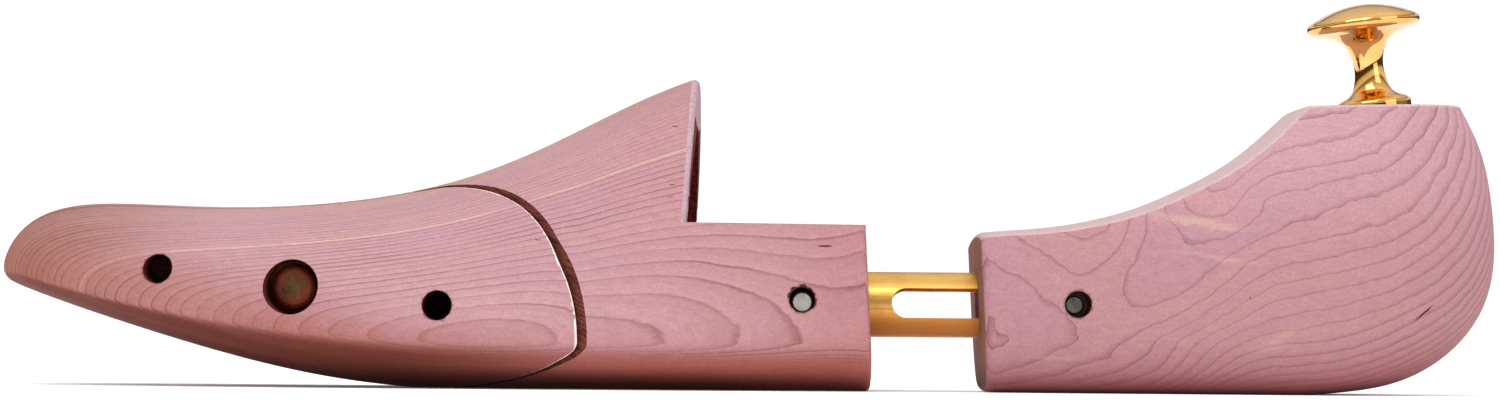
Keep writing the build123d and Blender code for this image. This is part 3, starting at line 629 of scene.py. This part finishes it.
for name, side in (("lateral_cheek_screw", -1), ("medial_cheek_screw", 1)):
    low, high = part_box(name)
    head = max(abs(low[1]), abs(high[1])) * MM_PER_M

    def screw_pick(c, n, side=side, place=SCREWS[side], head=head):
        depth = head - c.y * side
        if 0.05 < depth < 2.3 and math.hypot(c.x - place[0], c.z - place[1]) < 2.65:
            # the recess walls take the painted highlight
            return "wall" if abs(n.y) < 0.3 else "floor"
        return None
    face_kinds(nodes[name], {"wall": recess_glint_brass, "floor": recess_floor}, screw_pick)


# ---------------------------------------------------------------- studio
def paper(color, glow):
    """Pale floor material with a faint glow of its own."""
    g = Graph("paper")
    g.surface(color=(*color, 1.0), rough=0.9)
    g.bsdf.inputs["Emission Color"].default_value = (*color, 1.0)
    g.bsdf.inputs["Emission Strength"].default_value = glow
    return g.material


def set_up(name, data, place):
    """Put a studio piece in the scene, off the object."""
    obj = bpy.data.objects.new(name, data)
    obj.location = place
    bpy.context.scene.collection.objects.link(obj)
    obj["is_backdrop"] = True
    return obj


def floor_sheet(half, place, material):
    mesh = bpy.data.meshes.new("floor")
    corners = [(-half, -half, 0), (half, -half, 0), (half, half, 0), (-half, half, 0)]
    mesh.from_pydata(corners, [], [(0, 1, 2, 3)])
    mesh.materials.append(material)
    return set_up("floor", mesh, place)


def softbox(name, size, place, aim, power):
    data = bpy.data.lights.new(name, "AREA")
    data.shape = "RECTANGLE"
    data.size, data.size_y = size
    data.energy = power
    obj = set_up(name, data, place)
    obj.rotation_euler = (Vector(aim) - Vector(place)).to_track_quat("-Z", "Y").to_euler()
    return obj


# just under the object, so that the two never share a plane
FLOOR_Z = -0.00003
floor_sheet(4.0, (0, 1.5, FLOOR_Z), paper((0.99, 0.99, 0.99), 0.05))
softbox("key", (1.4, 1.0), (-0.5, -1.1, 1.5), (0, 0, 0.02), 18)
softbox("fill", (1.2, 1.2), (1.4, -1.2, 0.7), (0, 0, 0.03), 6)

# white room for everything, but a darker and warmer one in reflections: height share and colour
ROOM_BRIGHTNESS = 1.1
ROOM_SPAN = (-0.15, 0.85)
ROOM_STOPS = (
    (0.0, (0.75, 0.7, 0.62)), (0.16, (0.05, 0.03, 0.02)), (0.30, (0.10, 0.06, 0.035)), (0.36, (0.75, 0.70, 0.6)),
    (0.50, (0.9, 0.87, 0.8)), (0.56, (0.16, 0.10, 0.06)), (0.66, (0.6, 0.55, 0.48)), (1.0, (1.0, 1.0, 1.0)),
)
world = bpy.data.worlds.new("studio")
world.use_nodes = True
tree = world.node_tree
background = tree.nodes["Background"]
background.inputs["Strength"].default_value = ROOM_BRIGHTNESS
rays = tree.nodes.new("ShaderNodeLightPath")
direction = tree.nodes.new("ShaderNodeTexCoord")
parts = tree.nodes.new("ShaderNodeSeparateXYZ")
tree.links.new(direction.outputs["Generated"], parts.inputs[0])
height = tree.nodes.new("ShaderNodeMapRange")
for socket, number in zip(height.inputs[1:5], (*ROOM_SPAN, 0.0, 1.0)):
    socket.default_value = number
tree.links.new(parts.outputs["Z"], height.inputs[0])
room = tree.nodes.new("ShaderNodeValToRGB")
tree.links.new(height.outputs[0], room.inputs[0])
stops = room.color_ramp.elements
while len(stops) < len(ROOM_STOPS):
    stops.new(0.5)
for stop, (share, color) in zip(stops, ROOM_STOPS):
    stop.position = share
    stop.color = (*color, 1.0)
choice = tree.nodes.new("ShaderNodeMix")
choice.data_type = "RGBA"
tree.links.new(rays.outputs["Is Glossy Ray"], choice.inputs[0])
choice.inputs[6].default_value = (1.0, 1.0, 1.0, 1.0)
tree.links.new(room.outputs[0], choice.inputs[7])
tree.links.new(choice.outputs[2], background.inputs["Color"])
bpy.context.scene.world = world

# ---------------------------------------------------------------- camera
CAMERA_PLACE = Vector((0.0, -0.8944, 0.008))
CAMERA_AIM = Vector((0.0, 0.0, 0.0407))
CAMERA_ROLL = math.radians(0.475)
camera_data = bpy.data.cameras.new("camera")
camera_data.lens = 100
camera_data.sensor_width = 36
camera = bpy.data.objects.new("camera", camera_data)
camera.location = CAMERA_PLACE
look = (CAMERA_AIM - CAMERA_PLACE).to_track_quat("-Z", "Y").to_matrix()
camera.rotation_euler = (look @ Matrix.Rotation(CAMERA_ROLL, 3, "Z")).to_euler()
bpy.context.scene.collection.objects.link(camera)
bpy.context.scene.camera = camera
bpy.context.scene.view_settings.view_transform = "Standard"

low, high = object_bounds()
